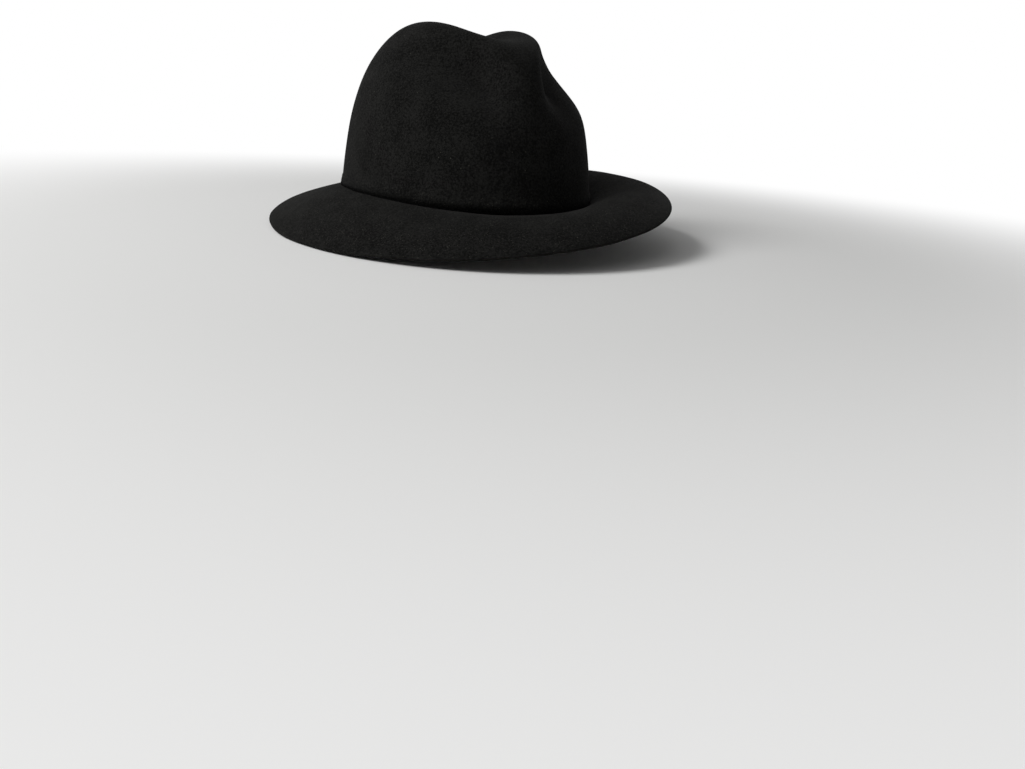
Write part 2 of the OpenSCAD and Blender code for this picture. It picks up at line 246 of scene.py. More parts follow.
def block(p):
    """Place on the hat of a point of the hood."""
    phi = round(math.degrees(math.atan2(p.x, -p.y)), 3)
    radius = math.hypot(p.x, p.y)
    if radius > 1 and p.z < SKIRT_TOP * (radius - 1) + CLOSE:
        point, normal = brim_frame(phi, round(radius - 1, 4))
        return point + normal * p.z / HOOD_WALL * FELT
    if p.z < 0:
        point, out_of_crown = crown_frame(phi, 0)
        up_from_brim = brim_frame(phi, 0)[1]
        return point - FELT / HOOD_WALL * ((1 - radius) * out_of_crown - p.z * up_from_brim)
    rise = round(math.degrees(math.atan2(p.z, radius)), 3)
    point, normal = crown_frame(phi, rise)
    return point + normal * (p.length - 1) / HOOD_WALL * FELT


print("felt, mm thick:", round(FELT / MM, 1), "from a hood wall of", HOOD_WALL)

# %% [markdown]
# ## The outline of the hood
#
# The rows are closest where the shape turns quickest. At the break the felt is creased by the iron, so the
# outline has a fine lip over a groove there. The raw edge of the brim is a half round.

# %% Outline
CROWN_ROWS, BRIM_ROWS, EDGE_ROWS = 84, 34, 6
CROWN_CROWDING, BRIM_CROWDING = 1.15, 1.1
LIP, GROOVE = 0.02, 0.03
INNER_CORNER = ((0.0, 1.0), (0.6, 0.95), (0.95, 0.6), (1.0, 0.0))


def half_circle(steps):
    """Even turns from one face of a wall, round its edge, to the other."""
    return [math.pi * i / steps for i in range(1, steps)]


half_wall = HOOD_WALL / 2
edge_reach = FELT / 2 / BRIM_WIDTH
rises = [math.radians(90 * (1 - (i / CROWN_ROWS) ** CROWN_CROWDING)) for i in range(CROWN_ROWS)]
outs = [((i + 1) / BRIM_ROWS) ** BRIM_CROWDING * (1 - edge_reach) for i in range(BRIM_ROWS)]

outline = [(math.cos(a), math.sin(a)) for a in rises]
outline += [(1 + LIP, 0.018), (1 + LIP, 0.010), (1 - GROOVE / 2, 0.004), (1.004, -GROOVE)]
outline += [(1 + w, 0.0) for w in outs if w > LIP]
outline += [(2 - edge_reach + edge_reach * math.sin(t), half_wall * (math.cos(t) - 1))
            for t in half_circle(EDGE_ROWS)]
outline += [(1 + w, -HOOD_WALL) for w in reversed(outs)]
outline += [(1 - HOOD_WALL * s, -HOOD_WALL * c) for s, c in INNER_CORNER]
outline += [((1 - HOOD_WALL) * math.cos(a), (1 - HOOD_WALL) * math.sin(a)) for a in reversed(rises)]
print("points in the outline:", len(outline))

# %% [markdown]
# ## Spinning and blocking
#
# The outline is turned once about Z, as clay is on a wheel, and the two ends that meet on the axis are
# merged. Steam and hands leave felt a little uneven, so the blocked mesh is pushed about by a slow noise,
# which moves both faces nearly alike. That could be left to a bump in the finish, but then the outline of
# the hat would stay too perfect.

# %% Helpers that spin an outline and finish a piece
COLUMNS = 240
POLE_MERGE = 1e-5


def spin_outline(bm, points, columns):
    """Draws the outline in the plane of X and Z, spins it about Z and closes it on the axis."""
    verts = [bm.verts.new((r, 0, z)) for r, z in points]
    edges = [bm.edges.new(pair) for pair in zip(verts, verts[1:])]
    bmesh.ops.spin(bm, geom=verts + edges, cent=(0, 0, 0), axis=(0, 0, 1), angle=math.tau,
                   steps=columns, use_merge=True)
    bmesh.ops.remove_doubles(bm, verts=bm.verts, dist=POLE_MERGE)


def finish_piece(name, bm, replaces, smooth_shading=True):
    """Turns a bmesh into a piece of the hat, with its normals out, riding on the hat's one body."""
    bmesh.ops.recalc_face_normals(bm, faces=bm.faces)
    mesh = bpy.data.meshes.new(name)
    bm.to_mesh(mesh)
    bm.free()
    mesh.polygons.foreach_set("use_smooth", [smooth_shading] * len(mesh.polygons))
    piece = bpy.data.objects.new(name, mesh)
    scene.collection.objects.link(piece)
    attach(piece, "root")
    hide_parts(*replaces)
    print(f"{name}: {len(mesh.polygons)} faces")
    return piece


print("columns round the hat:", COLUMNS)

# %% Steam and hands
HAND = 0.35 * MM
BROAD_LUMP, SMALL_LUMP = 55 * MM, 24 * MM
SMALL_PLACE, SIDEWAYS_PLACE = Vector((7, 3, 1)), Vector((1, 1, 0))


def unevenness(p):
    """The slight unevenness that steam and hands leave in felt."""
    broad = noise.noise(p / BROAD_LUMP) + 0.5 * noise.noise(p / SMALL_LUMP + SMALL_PLACE)
    return HAND * broad


bm = bmesh.new()
spin_outline(bm, outline, COLUMNS)
for v in bm.verts:
    v.co = block(v.co)
for v in bm.verts:
    v.co.z += unevenness(Vector((v.co.x, v.co.y, 0)))
    v.co += Vector((v.co.x, v.co.y, 0)).normalized() * unevenness(v.co + SIDEWAYS_PLACE)
hat_felt = finish_piece("hat_felt", bm, ["felt_body"])

# %% [markdown]
# ## Shader sums as Python
#
# A finish is a small sum over noise and stripes. A class that wraps a socket lets that sum be written as an
# expression, and each operator adds one Math node. Every other node comes from one method, `node`. The same
# nodes could be wired by hand in the shader editor, but a sum is easier to read and to change.

# %% Socket arithmetic
class Value:
    """An output socket that takes part in Python expressions. Each sum adds a Math node."""

    def __init__(self, finish, socket):
        self.finish, self.socket = finish, socket

    def math(self, operation, first, second):
        return self.finish.node("ShaderNodeMath", {"operation": operation}, {0: first, 1: second})

    def __add__(self, other):
        return self.math("ADD", self, other)

    def __sub__(self, other):
        return self.math("SUBTRACT", self, other)

    def __rsub__(self, other):
        return self.math("SUBTRACT", other, self)

    def __mul__(self, other):
        return self.math("MULTIPLY", self, other)

    __radd__, __rmul__ = __add__, __mul__


def four(colour):
    """A colour as a socket takes it."""
    return colour if isinstance(colour, Value) else (*colour, 1)


print("a red as a socket takes it:", four((1, 0, 0)))


# %% A material being made
class Finish:
    """A material being made. node() adds any node and hands back one of its outputs."""

    def __init__(self, name, owner=None):
        self.owner = owner or bpy.data.materials.new(name)
        self.owner.use_nodes = True
        self.tree = self.owner.node_tree
        self.tree.nodes.clear()

    def node(self, kind, settings=None, inputs=None, output=0):
        made = self.tree.nodes.new(kind)
        for key, value in (settings or {}).items():
            setattr(made, key, value)
        for key, value in (inputs or {}).items():
            if isinstance(value, Value):
                self.tree.links.new(value.socket, made.inputs[key])
            else:
                made.inputs[key].default_value = value
        return Value(self, made.outputs[output]) if len(made.outputs) else None

    def place(self):
        """Place on the hat, in metres."""
        return self.node("ShaderNodeTexCoord", output="Object")

    def height(self):
        """Height over the break, in metres."""
        return self.node("ShaderNodeSeparateXYZ", {}, {0: self.place()}, 2)

    def noise(self, size, detail=3.0, roughness=0.5):
        """Cloudy noise whose lumps are about as wide as size."""
        return self.node("ShaderNodeTexNoise", {}, {
            "Vector": self.place(), "Scale": 1 / size, "Detail": detail, "Roughness": roughness})

    def ribs(self, pitch, direction, wobble=0.0):
        """Ridges one pitch apart. A wave texture of scale 1 repeats every tenth of pi."""
        return self.node("ShaderNodeTexWave", {"bands_direction": direction}, {
            "Vector": self.place(), "Scale": math.pi / 10 / pitch, "Distortion": wobble})

    def specks(self, spacing, size):
        """Round spots about one spacing apart, 1 in the spots."""
        distance = self.node("ShaderNodeTexVoronoi", {}, {"Vector": self.place(), "Scale": 1 / spacing})
        return self.step(distance, 0.5 * size / spacing, 0.2 * size / spacing)

    def step(self, value, low, high):
        """A smooth step from 0 at low to 1 at high, either way round."""
        return self.node("ShaderNodeMapRange", {"interpolation_type": "SMOOTHSTEP"}, {
            "Value": value, "From Min": low, "From Max": high})

    def blend(self, share, first, second):
        """A colour from first to second."""
        return self.node("ShaderNodeMix", {"data_type": "RGBA"},
                         {0: share, 6: four(first), 7: four(second)}, 2)

    def bump(self, height, depth, strength=1.0):
        return self.node("ShaderNodeBump", {}, {"Height": height, "Distance": depth, "Strength": strength})

    def shader(self, colour, roughness, normal=None, **constants):
        inputs = {"Base Color": four(colour), "Roughness": roughness}
        if normal:
            inputs["Normal"] = normal
        for key, value in constants.items():
            inputs[key.replace("_", " ")] = four(value) if isinstance(value, tuple) else value
        return self.node("ShaderNodeBsdfPrincipled", {}, inputs)

    def surface(self, *arguments, **constants):
        """Ends the material with one shader, and returns the material."""
        self.node("ShaderNodeOutputMaterial", {}, {"Surface": self.shader(*arguments, **constants)})
        return self.owner


print("a finish offers:", [name for name in vars(Finish) if not name.startswith("_")])

# %% [markdown]
# ## Black wool felt
#
# Felt is matted fur or wool, so it has no weave. It is close to black, a little warm and a little uneven
# where the fibres lie differently, and its nap catches the light at a low angle. Dust shows on black: fine
# specks sit on the crown, and more of them on the brim, where they settle. Real hairs would be heavy and
# hardly seen, so the specks come from two sizes of cells, and a cloud decides where they lie thick.

# %% Felt
FELT_DARK, FELT_LIGHT = (0.0036, 0.0036, 0.0034), (0.0135, 0.0134, 0.0127)
LINT = (0.075, 0.073, 0.062)
FIBRE, FELT_CLOUD, NAP = 1.3 * MM, 16 * MM, 0.45 * MM
DUST_SPACING, DUST_SIZE = 1.2 * MM, 0.6 * MM
LINT_SPACING, LINT_SIZE = 6 * MM, 1.0 * MM
DUST_TOP, DUST_LOW = 14 * MM, 4 * MM


def felt_finish():
    f = Finish("black_felt")
    fibre = f.noise(FIBRE, 4.0, 0.75)
    cloud = f.noise(FELT_CLOUD, 3.0)
    colour = f.blend(f.step(cloud * 0.2 + fibre * 0.8, 0.40, 0.60), FELT_DARK, FELT_LIGHT)
    on_brim = f.step(f.height(), DUST_TOP, DUST_LOW)
    thick_here = f.step(f.noise(5 * MM, 2.0), 0.42, 0.60)
    dust = f.specks(DUST_SPACING, DUST_SIZE) * thick_here * (on_brim * 0.55 + 0.15)
    lint = f.specks(LINT_SPACING, LINT_SIZE) * f.step(f.noise(9 * MM, 1.0), 0.46, 0.54)
    colour = f.blend(dust, colour, LINT)
    colour = f.blend(lint * 0.6, colour, LINT)
    nap = f.bump(fibre * 0.7 + f.noise(3 * MM) * 0.3, NAP, 0.7)
    return f.surface(colour, 0.95, nap, Sheen_Weight=0.015, Sheen_Roughness=0.5, Specular_IOR_Level=0.02)


hat_felt.data.materials.append(felt_finish())
print("felt:", len(hat_felt.data.materials[0].node_tree.nodes), "nodes")

# %% [markdown]
# ## Layers inside the crown
#
# The leather, tape and lining are bands that follow the inner wall, each at its own depth. A band starts as
# a small cross-section, is spun about Z at a radius of 1 less its depth, and is then laid on the crown
# surface by `lay`. Shrinkwrapping each layer on the one outside it could do the same, but the gaps would
# then drift.

# %% Depths and heights of the layers, from the felt's outer face and from the break
FELT_GAP, LAYER_GAP = 0.3 * MM, 0.15 * MM
REED, SLEEVE_WALL, TAPE = 1.1 * MM, 0.2 * MM, 0.3 * MM
LEATHER, SATIN, PIPING = 0.8 * MM, 0.3 * MM, 1.6 * MM
THREAD = 0.5 * MM

tape_depth = FELT + FELT_GAP
reed_room = REED + 2 * (SLEEVE_WALL + LAYER_GAP) + 2 * LAYER_GAP
tape_inner = tape_depth + 2 * TAPE + reed_room
leather_low_depth = tape_inner + LAYER_GAP
leather_high_depth = tape_depth + SATIN + LAYER_GAP

TAPE_LOW, TAPE_HEIGHT = 0.4 * MM, 5.6 * MM
LEATHER_LOW, LEATHER_HEIGHT = 0.8 * MM, 40 * MM
LEAN_START, LEAN_END = 6.4 * MM, 13.4 * MM
LINING_TUCK, LINING_TIP_DROP, LINING_HANG = 6 * MM, 42 * MM, 1.6 * MM
leather_top = LEATHER_LOW + LEATHER_HEIGHT
lining_seam = CROWN_HEIGHT - LINING_TIP_DROP


def leather_depth(height):
    """The leather stands off the felt over the tape, and leans back against it above."""
    lean = smooth((height - LEAN_START) / (LEAN_END - LEAN_START))
    return leather_low_depth + (leather_high_depth - leather_low_depth) * lean


def lining_depth(height):
    return tape_depth + LINING_HANG * smooth((height - leather_top) / (lining_seam - leather_top))


def back_degrees(length, depth=0.0):
    """Angle that a length takes up at the back of the crown."""
    radius = half_width * half_width / half_length
    return math.degrees(length / half_width / (1 - depth / radius))


print("leather stands", round(leather_low_depth / MM, 2), "mm inside the felt's outer face")

# %% [markdown]
# ## How a band is drawn, spun and laid
#
# The leather, the label and the side of the lining are strips with rounded edges, so one helper draws their
# cross-section. A full turn is closed by merging, and a part turn is spun as a face, which leaves both ends
# capped.

# %% Cross-section of a band
def band(low, high, depth_of, thickness, rows, end_rows=5):
    """Cross-section of a band, as points of depth and height, with half-round edges."""
    r = thickness / 2
    heights = [low + r + (high - low - thickness) * i / rows for i in range(rows + 1)]
    turns = half_circle(end_rows)
    points = [(depth_of(h), h) for h in heights]
    points += [(depth_of(high) + r - r * math.cos(t), high - r + r * math.sin(t)) for t in turns]
    points += [(depth_of(h) + thickness, h) for h in reversed(heights)]
    points += [(depth_of(low) + r + r * math.cos(t), low + r - r * math.sin(t)) for t in turns]
    return points


print("points in a band of one row:", len(band(0, 1, lambda height: 0, 0.1, 1)))


# %% Spinning and laying a band
def spin_band(bm, points, columns, start=-180.0, end=180.0):
    """Spins a cross-section of depths and heights from one angle to another."""
    verts = [bm.verts.new((1 - depth, 0, height)) for depth, height in points]
    edges = [bm.edges.new(pair) for pair in zip(verts, verts[1:] + verts[:1])]
    whole = end - start == 360
    geom = verts + edges if whole else verts + edges + [bm.faces.new(verts)]
    to_start = Matrix.Rotation(math.radians(start - 90), 3, "Z")
    bmesh.ops.rotate(bm, verts=verts, cent=(0, 0, 0), matrix=to_start)
    bmesh.ops.spin(bm, geom=geom, cent=(0, 0, 0), axis=(0, 0, 1), angle=math.radians(end - start),
                   steps=columns, use_merge=whole)


def spun_place(p):
    """Angle in degrees, height and depth of a point of a spun band."""
    return math.degrees(math.atan2(p.x, -p.y)), p.z, 1 - math.hypot(p.x, p.y)


def lay(bm, push=lambda phi, height: 0.0):
    """Lays a spun band on the crown surface. push is how much deeper each place goes."""
    for v in bm.verts:
        phi, height, depth = spun_place(v.co)
        point, normal = crown_frame(round(phi, 3), round(rise_of(height), 3))
        v.co = point - normal * (depth + push(phi, height))


print("places remembered on the surface:", len(frames))

# %% [markdown]
# ## The leather sweatband
#
# It is one strip of thin leather, 40 mm tall, whose ends meet at the back. Worn leather isn't smooth: it
# has short upright wrinkles where it follows the head, and its lower edge is drawn in a little at each
# stitch. Both are moved into the mesh, and only the grain is left to the finish.

# %% Sweatband
SEAM_GAP = 0.4 * MM
STITCHES = 90
LEATHER_ROWS, LEATHER_COLUMNS = 30, 359
WRINKLE, WRINKLES_ROUND, WRINKLE_LENGTH = 0.22 * MM, 12, 28 * MM
DENT, DENT_TALL, DENT_WIDE = 0.12 * MM, 1.2 * MM, 0.3
pitch = 360 / STITCHES
stitch_height = TAPE_LOW + TAPE_HEIGHT - THREAD - LAYER_GAP
half_gap = back_degrees(SEAM_GAP, tape_depth) / 2


def leather_wrinkles(phi, height):
    """Upright wrinkles, and a dent at each stitch."""
    a = math.radians(phi)
    place = Vector((WRINKLES_ROUND * math.cos(a), WRINKLES_ROUND * math.sin(a), height / WRINKLE_LENGTH))
    from_stitch = (phi / pitch - 0.5) % 1 - 0.5
    dent = bell(from_stitch / DENT_WIDE) * bell((height - stitch_height) / DENT_TALL)
    return WRINKLE * (0.6 + noise.noise(place)) - DENT * dent


bm = bmesh.new()
section = band(LEATHER_LOW, leather_top, leather_depth, LEATHER, LEATHER_ROWS)
spin_band(bm, section, LEATHER_COLUMNS, -180 + half_gap, 180 - half_gap)
lay(bm, leather_wrinkles)
leather_band = finish_piece("leather_sweatband", bm, ["sweatband"])

# %% [markdown]
# ## Tan leather
#
# Vegetable-tanned leather is never one colour. It is cloudy, its pores are darker pin pricks, and its lower
# edge darkens where it is handled. A picture of leather would repeat and stretch on a ring, so noise and
# cells make the cloud and the pores, and the same pores press the grain in.

# %% Leather finish
TAN_DARK, TAN_LIGHT = (0.15, 0.082, 0.045), (0.225, 0.13, 0.072)
PORE, HANDLED = (0.09, 0.048, 0.026), (0.075, 0.04, 0.024)
PORE_SPACING, PORE_SIZE, GRAIN = 0.9 * MM, 0.35 * MM, 0.12 * MM


def leather_finish():
    f = Finish("band_leather")
    tan = f.blend(f.step(f.noise(22 * MM, 4.0), 0.35, 0.65), TAN_DARK, TAN_LIGHT)
    pores = f.specks(PORE_SPACING, PORE_SIZE)
    worn = f.step(f.height(), 14 * MM, 2 * MM) * f.step(f.noise(9 * MM), 0.35, 0.6)
    colour = f.blend(worn * 0.5, f.blend(pores * 0.5, tan, PORE), HANDLED)
    grain = f.noise(1.1 * MM, 4.0, 0.6) * 0.6 - pores * 0.4
    rough = f.step(f.noise(6 * MM), 0.3, 0.7) * 0.15 + 0.42
    return f.surface(colour, rough, f.bump(grain, GRAIN, 0.8), Specular_IOR_Level=0.45)


leather_band.data.materials.append(leather_finish())
print("leather:", len(leather_band.data.materials[0].node_tree.nodes), "nodes")

# %% [markdown]
# ## Stitches
#
# A stitch shows as a short plump grain of thread that dives into the leather at both ends. Ninety of them
# run round the band and two short columns close the back. One long twisted thread could be swept along the
# row, but most of it would be hidden in the leather, so each stitch is a small squeezed ball of few faces.

# %% One stitch
STITCH_SHARE, STITCH_DIVE = 0.6, 1.15


def stitch(bm, start, end, thickness):
    """One grain of thread between two points."""
    way = end - start
    size = Matrix.Diagonal((thickness, thickness, way.length * STITCH_DIVE, 1))
    turn = way.to_track_quat("Z", "Y").to_matrix().to_4x4()
    place = Matrix.Translation((start + end) / 2) @ turn @ size
    bmesh.ops.create_uvsphere(bm, u_segments=8, v_segments=6, radius=0.5, matrix=place)


print("a stitch of the row, degrees long:", round(STITCH_SHARE * pitch, 2))

# %% Row of stitches round the band
ROW_OUT, ROW_PLUMP = 0.2 * MM, 1.2
row_depth = leather_low_depth + LEATHER + ROW_OUT
bm = bmesh.new()
for i in range(STITCHES):
    first = -180 + (i + (1 - STITCH_SHARE) / 2) * pitch
    last = first + STITCH_SHARE * pitch
    ends = [wall(phi, stitch_height, row_depth) for phi in (first, last)]
    stitch(bm, *ends, THREAD * ROW_PLUMP)
band_stitches = finish_piece("sweatband_stitches", bm, ["sweatband_stitching"])

# %% Two columns of stitches at the back seam
BOW_HEIGHT, BOW_RIBBON = 12 * MM, 6 * MM
SEAM_STITCHES, SEAM_STITCH_OFFSET, SEAM_CLEAR, SEAM_OUT = 7, 2.2 * MM, 3 * MM, 0.25 * MM
seam_low = BOW_HEIGHT + BOW_RIBBON / 2 + SEAM_CLEAR
seam_pitch = (leather_top - SEAM_CLEAR - seam_low) / SEAM_STITCHES
seam_depth = leather_high_depth + LEATHER + SEAM_OUT
bm = bmesh.new()
for side in (-1, 1):
    phi = 180 + side * back_degrees(SEAM_STITCH_OFFSET, seam_depth)
    for i in range(SEAM_STITCHES):
        low = seam_low + i * seam_pitch
        ends = [wall(phi, height, seam_depth) for height in (low, low + STITCH_SHARE * seam_pitch)]
        stitch(bm, *ends, THREAD)
seam_stitches = finish_piece("back_seam_stitches", bm, ["back_seam_stitching"])

# %% Thread
THREAD_DARK, THREAD_LIGHT, THREAD_TWIST = (0.27, 0.22, 0.16), (0.46, 0.40, 0.30), 0.45 * MM


def thread_finish():
    f = Finish("sewing_thread")
    twist = f.ribs(THREAD_TWIST, "DIAGONAL", 0.5)
    colour = f.blend(twist, THREAD_DARK, THREAD_LIGHT)
    return f.surface(colour, 0.75, f.bump(twist, 0.08 * MM, 0.6), Sheen_Weight=0.15)


for piece in (band_stitches, seam_stitches):
    piece.data.materials.append(thread_finish())
print("threads:", [piece.data.materials[0].name for piece in (band_stitches, seam_stitches)])

# %% [markdown]
# ## The tape round the reed
#
# A cloth tape is folded up round the plastic reed, and its two legs stand against the felt and the leather.
# From below it shows as a thin black ribbed ring between the two. Its cross-section is a U of even
# thickness, so it is drawn point by point and spun. A flat strip bent by a modifier would crease at the
# fold.

# %% Reed tape
TAPE_COLUMNS, FOLD_CORNER = 360, 0.5 * MM


def fold_outline():
    """A folded strip in cross-section: up the outer leg, down inside it, round the fold and up again."""
    top, fold, c = TAPE_LOW + TAPE_HEIGHT, TAPE_LOW + TAPE, FOLD_CORNER
    inside = [(tape_depth + TAPE, top), (tape_depth + TAPE, fold + c), (tape_depth + TAPE + c, fold),
              (tape_inner - TAPE - c, fold), (tape_inner - TAPE, fold + c), (tape_inner - TAPE, top)]
    outside = [(tape_inner, top), (tape_inner, TAPE_LOW + c), (tape_inner - c, TAPE_LOW),
               (tape_depth + c, TAPE_LOW), (tape_depth, TAPE_LOW + c), (tape_depth, top)]
    return inside + outside


bm = bmesh.new()
spin_band(bm, fold_outline(), TAPE_COLUMNS)
lay(bm)
tape_fold = finish_piece("reed_tape_fold", bm, ["reed_tape"], smooth_shading=False)

# %% [markdown]
# ## Ribbed cloth
#
# Tape and ribbon have fine ribs across them and a little fuzz. At this scale a modelled weave would be
# millions of faces, so stripes and a fine noise shade the cloth and press the same ribs into its bump.

# %% Ribbed cloth
TAPE_BLACK, TAPE_GREY, TAPE_RIB = (0.025, 0.025, 0.024), (0.075, 0.073, 0.07), 0.6 * MM
CLOTH_FUZZ, CLOTH_RELIEF = 0.5 * MM, 0.15 * MM


def cloth_finish(name, dark, light, pitch, direction):
    """Ribbed cloth, such as a tape or a ribbon."""
    f = Finish(name)
    rib = f.ribs(pitch, direction, 0.3)
    fuzz = f.noise(CLOTH_FUZZ, 4.0, 0.7)
    colour = f.blend(rib * 0.7 + fuzz * 0.3, dark, light)
    return f.surface(colour, 0.7, f.bump(rib * 0.8 + fuzz * 0.2, CLOTH_RELIEF, 0.8),
                     Sheen_Weight=0.12, Sheen_Roughness=0.3, Specular_IOR_Level=0.3)


tape_cloth = cloth_finish("tape_cloth", TAPE_BLACK, TAPE_GREY, TAPE_RIB, "Z")
tape_fold.data.materials.append(tape_cloth)
print("tape ribs, mm apart:", round(TAPE_RIB / MM, 2))

# %% [markdown]
# ## The little bow
#
# A flat ribbon bow hides the lower end of the seam. Each loop is a closed drop of ribbon that narrows where
# the knot grips it. It could be a strip swept along a curve, but it starts here as a circle of edges, which
# is drawn up into a wall and given its thickness only after it has its shape, so the ribbon stays even.

# %% Shape of a loop
BOW_LOOP, BOW_DEEP, BOW_RIBBON_T, BOW_KNOT, BOW_CORNER = 12 * MM, 2.6 * MM, 0.4 * MM, 5 * MM, 1 * MM
LOOP_DROP, LOOP_GRIP, LOOP_DROOP = 0.25, 0.3, 0.5 * MM
bow_depth = leather_depth(BOW_HEIGHT - BOW_RIBBON / 2 - BOW_RIBBON_T) + LEATHER + FELT_GAP
loop_middle = BOW_KNOT / 2 + FELT_GAP + BOW_LOOP / 2


def loop_point(side, turn, share):
    """Place on one loop, at a turn round its drop and a share of the ribbon's width from its middle."""
    along = loop_middle - (BOW_LOOP / 2 - BOW_RIBBON_T / 2) * math.cos(turn)
    deep = (BOW_DEEP - BOW_RIBBON_T) / 2 * math.sin(turn) * (1 - LOOP_DROP - LOOP_DROP * math.cos(turn))
    gripped = 1 - LOOP_GRIP * (0.5 + 0.5 * math.cos(turn)) ** 3
    droop = -LOOP_DROOP * (along / (BOW_KNOT + BOW_LOOP)) ** 2
    phi = 180 + side * back_degrees(along, bow_depth + BOW_DEEP / 2)
    return wall(phi, BOW_HEIGHT + droop + share * BOW_RIBBON * gripped, bow_depth + BOW_DEEP / 2 + deep)


print("middle of a loop, mm from the seam:", round(loop_middle / MM, 1))

# %% Ribbon loops
RIBBON_ROWS, LOOP_POINTS = 8, 48
bm = bmesh.new()
for side in (-1, 1):
    ring = bmesh.ops.create_circle(bm, segments=LOOP_POINTS, radius=1)["verts"]
    edges = list({e for v in ring for e in v.link_edges})
    loop_verts = list(ring)
    for _ in range(RIBBON_ROWS):
        drawn = bmesh.ops.extrude_edge_only(bm, edges=edges)["geom"]
        fresh = [g for g in drawn if isinstance(g, bmesh.types.BMVert)]
        edges = [g for g in drawn
                 if isinstance(g, bmesh.types.BMEdge) and all(v in fresh for v in g.verts)]
        bmesh.ops.translate(bm, verts=fresh, vec=(0, 0, 1 / RIBBON_ROWS))
        loop_verts += fresh
    for v in loop_verts:
        v.co = loop_point(side, math.atan2(v.co.y, v.co.x), v.co.z - 0.5)
bmesh.ops.recalc_face_normals(bm, faces=bm.faces)
bmesh.ops.solidify(bm, geom=bm.faces, thickness=BOW_RIBBON_T)
bow = finish_piece("bow_ribbon_loops", bm, ["bow_loops"])

# %% Knot, a rounded block that is drawn in at its waist
KNOT_WAIST, KNOT_ROUNDING, KNOT_CUTS = 0.14, 5, 6
bm = bmesh.new()
knot_deep = BOW_DEEP + BOW_RIBBON_T
knot_place = wall(180, BOW_HEIGHT, bow_depth) - Vector((0, knot_deep / 2, 0))
knot_size = Matrix.Diagonal((BOW_KNOT, knot_deep, BOW_RIBBON + 2 * BOW_RIBBON_T, 1))
bmesh.ops.create_cube(bm, size=1, matrix=Matrix.Translation(knot_place) @ knot_size)
bmesh.ops.bevel(bm, geom=bm.edges[:], offset=BOW_CORNER, segments=KNOT_ROUNDING, profile=0.5,
                affect="EDGES", material=-1)
long_edges = [e for e in bm.edges if e.calc_length() > BOW_CORNER]
bmesh.ops.subdivide_edges(bm, edges=long_edges, cuts=KNOT_CUTS, use_grid_fill=True)
for v in bm.verts:
    waist = abs(v.co.z - knot_place.z) / (BOW_RIBBON / 2 + BOW_RIBBON_T)
    v.co.x *= 1 - KNOT_WAIST + KNOT_WAIST * waist ** 2
knot = finish_piece("bow_ribbon_knot", bm, ["bow_knot"])

# %% Ribbon
RIBBON_BLACK, RIBBON_GREY, RIBBON_RIB = (0.012, 0.012, 0.012), (0.05, 0.049, 0.047), 0.55 * MM
ribbon_cloth = cloth_finish("ribbon_cloth", RIBBON_BLACK, RIBBON_GREY, RIBBON_RIB, "X")
for piece in (bow, knot):
    piece.data.materials.append(ribbon_cloth)
print("ribbon ribs, mm apart:", round(RIBBON_RIB / MM, 2))

# %% [markdown]
# ## The bare label
#
# A small woven label sits beside the bow. It is left blank, with only the raised line that a loom weaves
# along its edges. It follows the leather, so it is a short band of its own and not a flat plate, and its
# two ends lift a little off the leather, as a stiff label's do.

# %% Label
LABEL_WIDTH, LABEL_HEIGHT, LABEL_LOW, LABEL_ANGLE, LABEL_T = 18 * MM, 9 * MM, 18 * MM, 155, 0.2 * MM
LABEL_ROWS, LABEL_COLUMNS, LABEL_EDGE_ROWS = 12, 30, 3
LABEL_OUT, LABEL_LIFT = 0.45 * MM, 0.3 * MM
half_label = back_degrees(LABEL_WIDTH, tape_depth + TAPE + reed_room / 2) / 2
label_depth = leather_high_depth + LEATHER + LABEL_OUT
bm = bmesh.new()
section = band(LABEL_LOW, LABEL_LOW + LABEL_HEIGHT, lambda height: label_depth, LABEL_T,
               LABEL_ROWS, LABEL_EDGE_ROWS)
spin_band(bm, section, LABEL_COLUMNS, LABEL_ANGLE - half_label, LABEL_ANGLE + half_label)
lay(bm, lambda phi, height: LABEL_LIFT * abs((phi - LABEL_ANGLE) / half_label) ** 4)
label = finish_piece("woven_label", bm, ["size_label"])

# %% Label weave
LABEL_DARK, LABEL_LIGHT, LABEL_LINE = (0.62, 0.59, 0.51), (0.8, 0.77, 0.69), (0.28, 0.21, 0.13)
LABEL_THREAD, LABEL_RELIEF = 0.35 * MM, 0.08 * MM


def label_finish():
    f = Finish("label_weave")
    weave = f.ribs(LABEL_THREAD, "Z") * 0.5 + f.ribs(LABEL_THREAD, "X") * 0.5
    low, high = (corner.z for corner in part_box("size_label"))
    middle = f.node("ShaderNodeMath", {"operation": "ABSOLUTE"}, {0: f.height() - (low + high) / 2})
    line = f.step(middle, 3.0 * MM, 3.2 * MM) * f.step(middle, 3.7 * MM, 3.5 * MM)
    colour = f.blend(line, f.blend(weave, LABEL_DARK, LABEL_LIGHT), LABEL_LINE)
    return f.surface(colour, 0.6, f.bump(weave + line, LABEL_RELIEF, 0.7), Sheen_Weight=0.1)


label.data.materials.append(label_finish())
print("label:", len(label.data.materials[0].node_tree.nodes), "nodes")

# %% [markdown]
# ## The satin lining
#
# The lining is two pieces of satin: a side strip, tucked behind the leather and gathered into a seam under
# the tip, and a round tip piece that hangs a little slack. A cord covered in darker satin is sewn into the
# seam. The gathers are folds of the mesh. They only ever go deeper into the hat, so they stay clear of the
# felt. Cloth simulation could drop them, but this satin is sewn taut on every edge and would hardly move.

# %% Gathers of the side strip
GATHERS, GATHER_DEPTH = 52, 1.8 * MM
GATHER_GROWS, GATHER_ENDS, GATHER_END_REACH = 18 * MM, 7 * MM, 6 * MM


